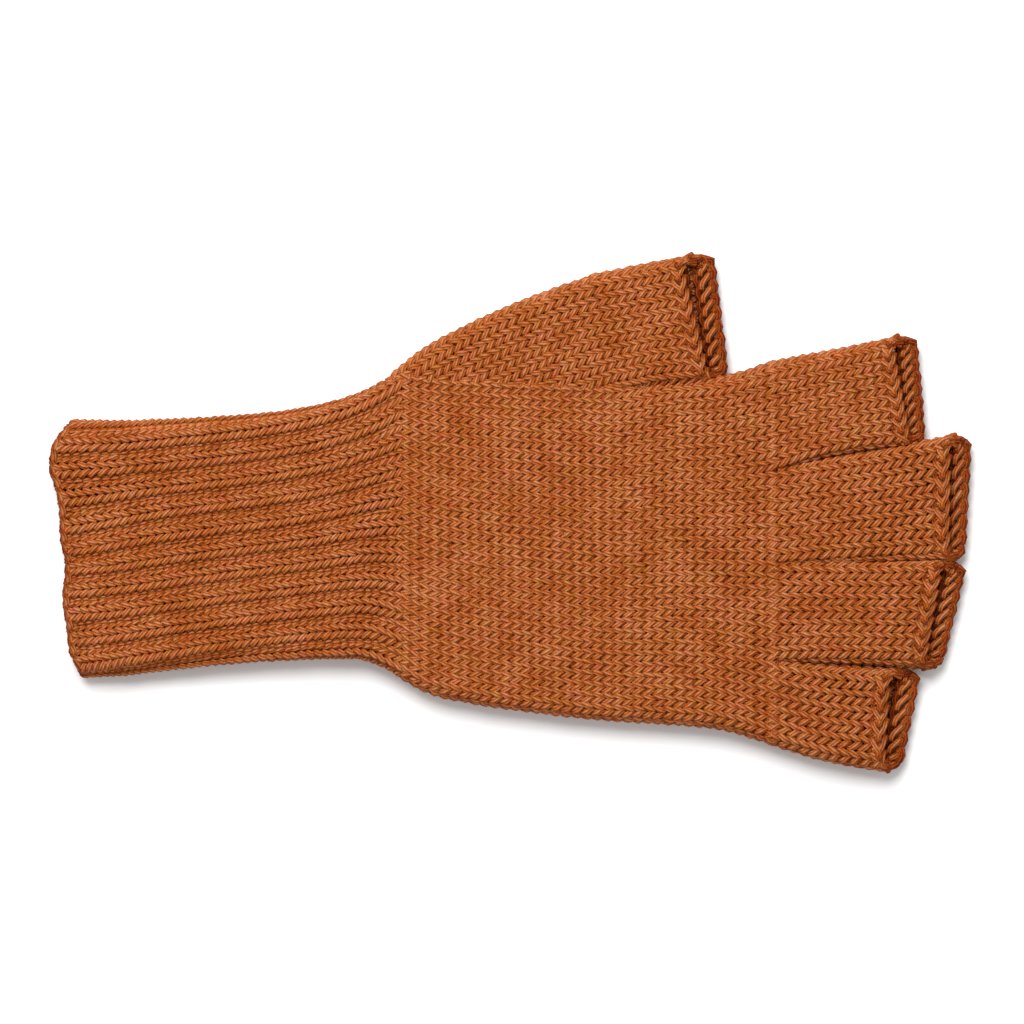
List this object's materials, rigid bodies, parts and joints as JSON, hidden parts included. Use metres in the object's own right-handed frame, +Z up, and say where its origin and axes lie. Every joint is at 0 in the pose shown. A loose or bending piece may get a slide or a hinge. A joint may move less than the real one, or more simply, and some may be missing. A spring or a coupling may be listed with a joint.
{
  "type": "fingerless glove",
  "caption": "Flat-lying knitted fingerless glove with a long ribbed cuff, a thumb gusset, and open thumb and finger tubes that bend at the knuckles.",
  "frame": {"origin": "on the underside of the glove, in the middle of its outline", "axes": "+X from the cuff to the fingertips, +Y towards the thumb, +Z up off the table"},
  "size_m": [0.2293, 0.13, 0.01],
  "materials": {
    "stockinette": "matt wool yarn, plain knitting",
    "ribbing": "matt wool yarn, one by one rib",
    "edge_chain": "matt wool yarn, chained edge"
  },
  "bodies": {
    "hand": {"hand_tube": "stockinette", "thumb_gusset": "stockinette", "index_middle_crotch_join": "stockinette", "middle_ring_crotch_join": "stockinette", "ring_little_crotch_join": "stockinette", "thumb_crotch_join": "stockinette"},
    "cuff": {"cuff_rib": "ribbing", "cuff_edge_chain": "edge_chain"},
    "thumb": {"thumb_tube": "stockinette", "thumb_edge_chain": "edge_chain"},
    "index": {"index_tube": "stockinette", "index_edge_chain": "edge_chain"},
    "middle": {"middle_tube": "stockinette", "middle_edge_chain": "edge_chain"},
    "ring": {"ring_tube": "stockinette", "ring_edge_chain": "edge_chain"},
    "little": {"little_tube": "stockinette", "little_edge_chain": "edge_chain"}
  },
  "joints": [
    {"name": "wrist_flex", "type": "hinge", "parent": "hand", "child": "cuff", "pos_m": [-0.027, -0.0036, 0.01], "axis": [0, 1, 0], "range_deg": [0, 70]},
    {"name": "thumb_flex", "type": "hinge", "parent": "hand", "child": "thumb", "pos_m": [0.0233, 0.04441, 0.01], "axis": [0.2588, -0.9659, 0], "range_deg": [0, 60]},
    {"name": "index_flex", "type": "hinge", "parent": "hand", "child": "index", "pos_m": [0.066, 0.0235, 0.01], "axis": [0, -1, 0], "range_deg": [0, 75]},
    {"name": "middle_flex", "type": "hinge", "parent": "hand", "child": "middle", "pos_m": [0.066, -0.0016, 0.01], "axis": [0, -1, 0], "range_deg": [0, 75]},
    {"name": "ring_flex", "type": "hinge", "parent": "hand", "child": "ring", "pos_m": [0.066, -0.0253, 0.01], "axis": [0, -1, 0], "range_deg": [0, 75]},
    {"name": "little_flex", "type": "hinge", "parent": "hand", "child": "little", "pos_m": [0.066, -0.048, 0.01], "axis": [0, -1, 0], "range_deg": [0, 75]}
  ]
}
